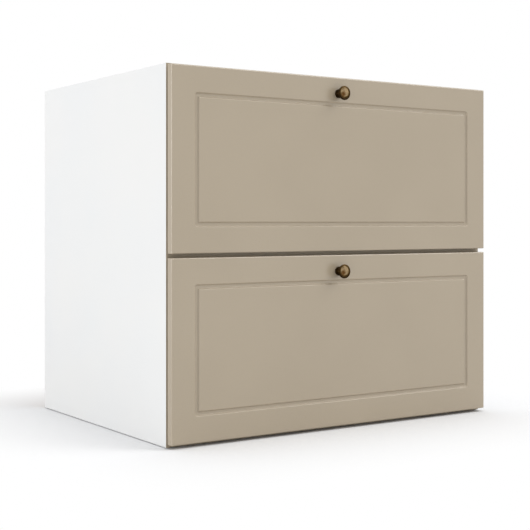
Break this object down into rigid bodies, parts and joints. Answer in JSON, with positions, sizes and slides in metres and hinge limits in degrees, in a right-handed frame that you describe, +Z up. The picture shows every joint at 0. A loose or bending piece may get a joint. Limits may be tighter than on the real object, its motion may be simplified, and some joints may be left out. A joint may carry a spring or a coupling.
{
  "type": "drawer base cabinet",
  "caption": "Kitchen base cabinet: white board carcass, taupe framed drawer fronts with round brass knobs, drawer boxes on full extension ball bearing runners.",
  "frame": {"origin": "middle of the underside of the carcass, on the floor plane", "axes": "+X across the width to the right as seen from the front, -Y out of the front, +Z up"},
  "size_m": [0.8, 0.6115, 0.72],
  "materials": {
    "white_board": "matte white melamine faced chipboard",
    "taupe_edging": "taupe plastic edge band in the colour of the fronts",
    "white_hardboard": "white lacquered hardboard",
    "beech": "fluted beech",
    "zinc_fittings": "zinc plated",
    "taupe_front": "satin taupe foil on fibreboard",
    "aged_brass": "dark antiqued brass, rubbed on the face",
    "drawer_board": "matte white melamine faced chipboard",
    "drawer_base": "white lacquered hardboard",
    "runner_steel": "zinc plated rolled steel",
    "bright_balls": "polished bearing steel",
    "clear_pads": "soft clear bumper"
  },
  "bodies": {
    "carcass": {"left_side_panel": "white_board", "right_side_panel": "white_board", "bottom_panel": "white_board", "front_top_rail": "white_board", "rear_top_rail": "white_board", "cross_rail": "white_board", "edge_bands": "taupe_edging", "back_panel": "white_hardboard", "dowels": "beech", "cam_locks": "zinc_fittings", "cam_bolts": "zinc_fittings", "cabinet_rail_screws": "zinc_fittings", "upper_left_cabinet_rail": "runner_steel", "upper_right_cabinet_rail": "runner_steel", "lower_left_cabinet_rail": "runner_steel", "lower_right_cabinet_rail": "runner_steel"},
    "upper_drawer": {"upper_front": "taupe_front", "upper_knob": "aged_brass", "upper_box_left_side": "drawer_board", "upper_box_right_side": "drawer_board", "upper_box_front": "drawer_board", "upper_box_back": "drawer_board", "upper_box_bottom": "drawer_base", "upper_bumper_pads": "clear_pads", "upper_knob_screw": "zinc_fittings", "upper_front_screws": "zinc_fittings", "upper_box_screws": "zinc_fittings", "upper_rail_screws": "zinc_fittings", "upper_left_drawer_rail": "runner_steel", "upper_right_drawer_rail": "runner_steel"},
    "upper_middle_rails": {"upper_left_middle_rail": "runner_steel", "upper_right_middle_rail": "runner_steel"},
    "upper_outer_cages": {"upper_left_outer_cage": "runner_steel", "upper_right_outer_cage": "runner_steel", "upper_outer_balls": "bright_balls"},
    "upper_inner_cages": {"upper_left_inner_cage": "runner_steel", "upper_right_inner_cage": "runner_steel", "upper_inner_balls": "bright_balls"},
    "lower_drawer": {"lower_front": "taupe_front", "lower_knob": "aged_brass", "lower_box_left_side": "drawer_board", "lower_box_right_side": "drawer_board", "lower_box_front": "drawer_board", "lower_box_back": "drawer_board", "lower_box_bottom": "drawer_base", "lower_bumper_pads": "clear_pads", "lower_knob_screw": "zinc_fittings", "lower_front_screws": "zinc_fittings", "lower_box_screws": "zinc_fittings", "lower_rail_screws": "zinc_fittings", "lower_left_drawer_rail": "runner_steel", "lower_right_drawer_rail": "runner_steel"},
    "lower_middle_rails": {"lower_left_middle_rail": "runner_steel", "lower_right_middle_rail": "runner_steel"},
    "lower_outer_cages": {"lower_left_outer_cage": "runner_steel", "lower_right_outer_cage": "runner_steel", "lower_outer_balls": "bright_balls"},
    "lower_inner_cages": {"lower_left_inner_cage": "runner_steel", "lower_right_inner_cage": "runner_steel", "lower_inner_balls": "bright_balls"}
  },
  "joints": [
    {"name": "upper_drawer_slide", "type": "slide", "parent": "carcass", "child": "upper_drawer", "axis": [0, -1, 0], "range_m": [0, 0.48]},
    {"name": "upper_middle_rails_slide", "type": "slide", "parent": "carcass", "child": "upper_middle_rails", "axis": [0, -1, 0], "range_m": [0, 0.24]},
    {"name": "upper_outer_cages_slide", "type": "slide", "parent": "carcass", "child": "upper_outer_cages", "axis": [0, -1, 0], "range_m": [0, 0.12]},
    {"name": "upper_inner_cages_slide", "type": "slide", "parent": "carcass", "child": "upper_inner_cages", "axis": [0, -1, 0], "range_m": [0, 0.36]},
    {"name": "lower_drawer_slide", "type": "slide", "parent": "carcass", "child": "lower_drawer", "axis": [0, -1, 0], "range_m": [0, 0.48]},
    {"name": "lower_middle_rails_slide", "type": "slide", "parent": "carcass", "child": "lower_middle_rails", "axis": [0, -1, 0], "range_m": [0, 0.24]},
    {"name": "lower_outer_cages_slide", "type": "slide", "parent": "carcass", "child": "lower_outer_cages", "axis": [0, -1, 0], "range_m": [0, 0.12]},
    {"name": "lower_inner_cages_slide", "type": "slide", "parent": "carcass", "child": "lower_inner_cages", "axis": [0, -1, 0], "range_m": [0, 0.36]}
  ],
  "couplings": [
    {"joint": "upper_middle_rails_slide", "follows": "upper_drawer_slide", "ratio": 0.5},
    {"joint": "upper_outer_cages_slide", "follows": "upper_drawer_slide", "ratio": 0.25},
    {"joint": "upper_inner_cages_slide", "follows": "upper_drawer_slide", "ratio": 0.75},
    {"joint": "lower_middle_rails_slide", "follows": "lower_drawer_slide", "ratio": 0.5},
    {"joint": "lower_outer_cages_slide", "follows": "lower_drawer_slide", "ratio": 0.25},
    {"joint": "lower_inner_cages_slide", "follows": "lower_drawer_slide", "ratio": 0.75}
  ]
}
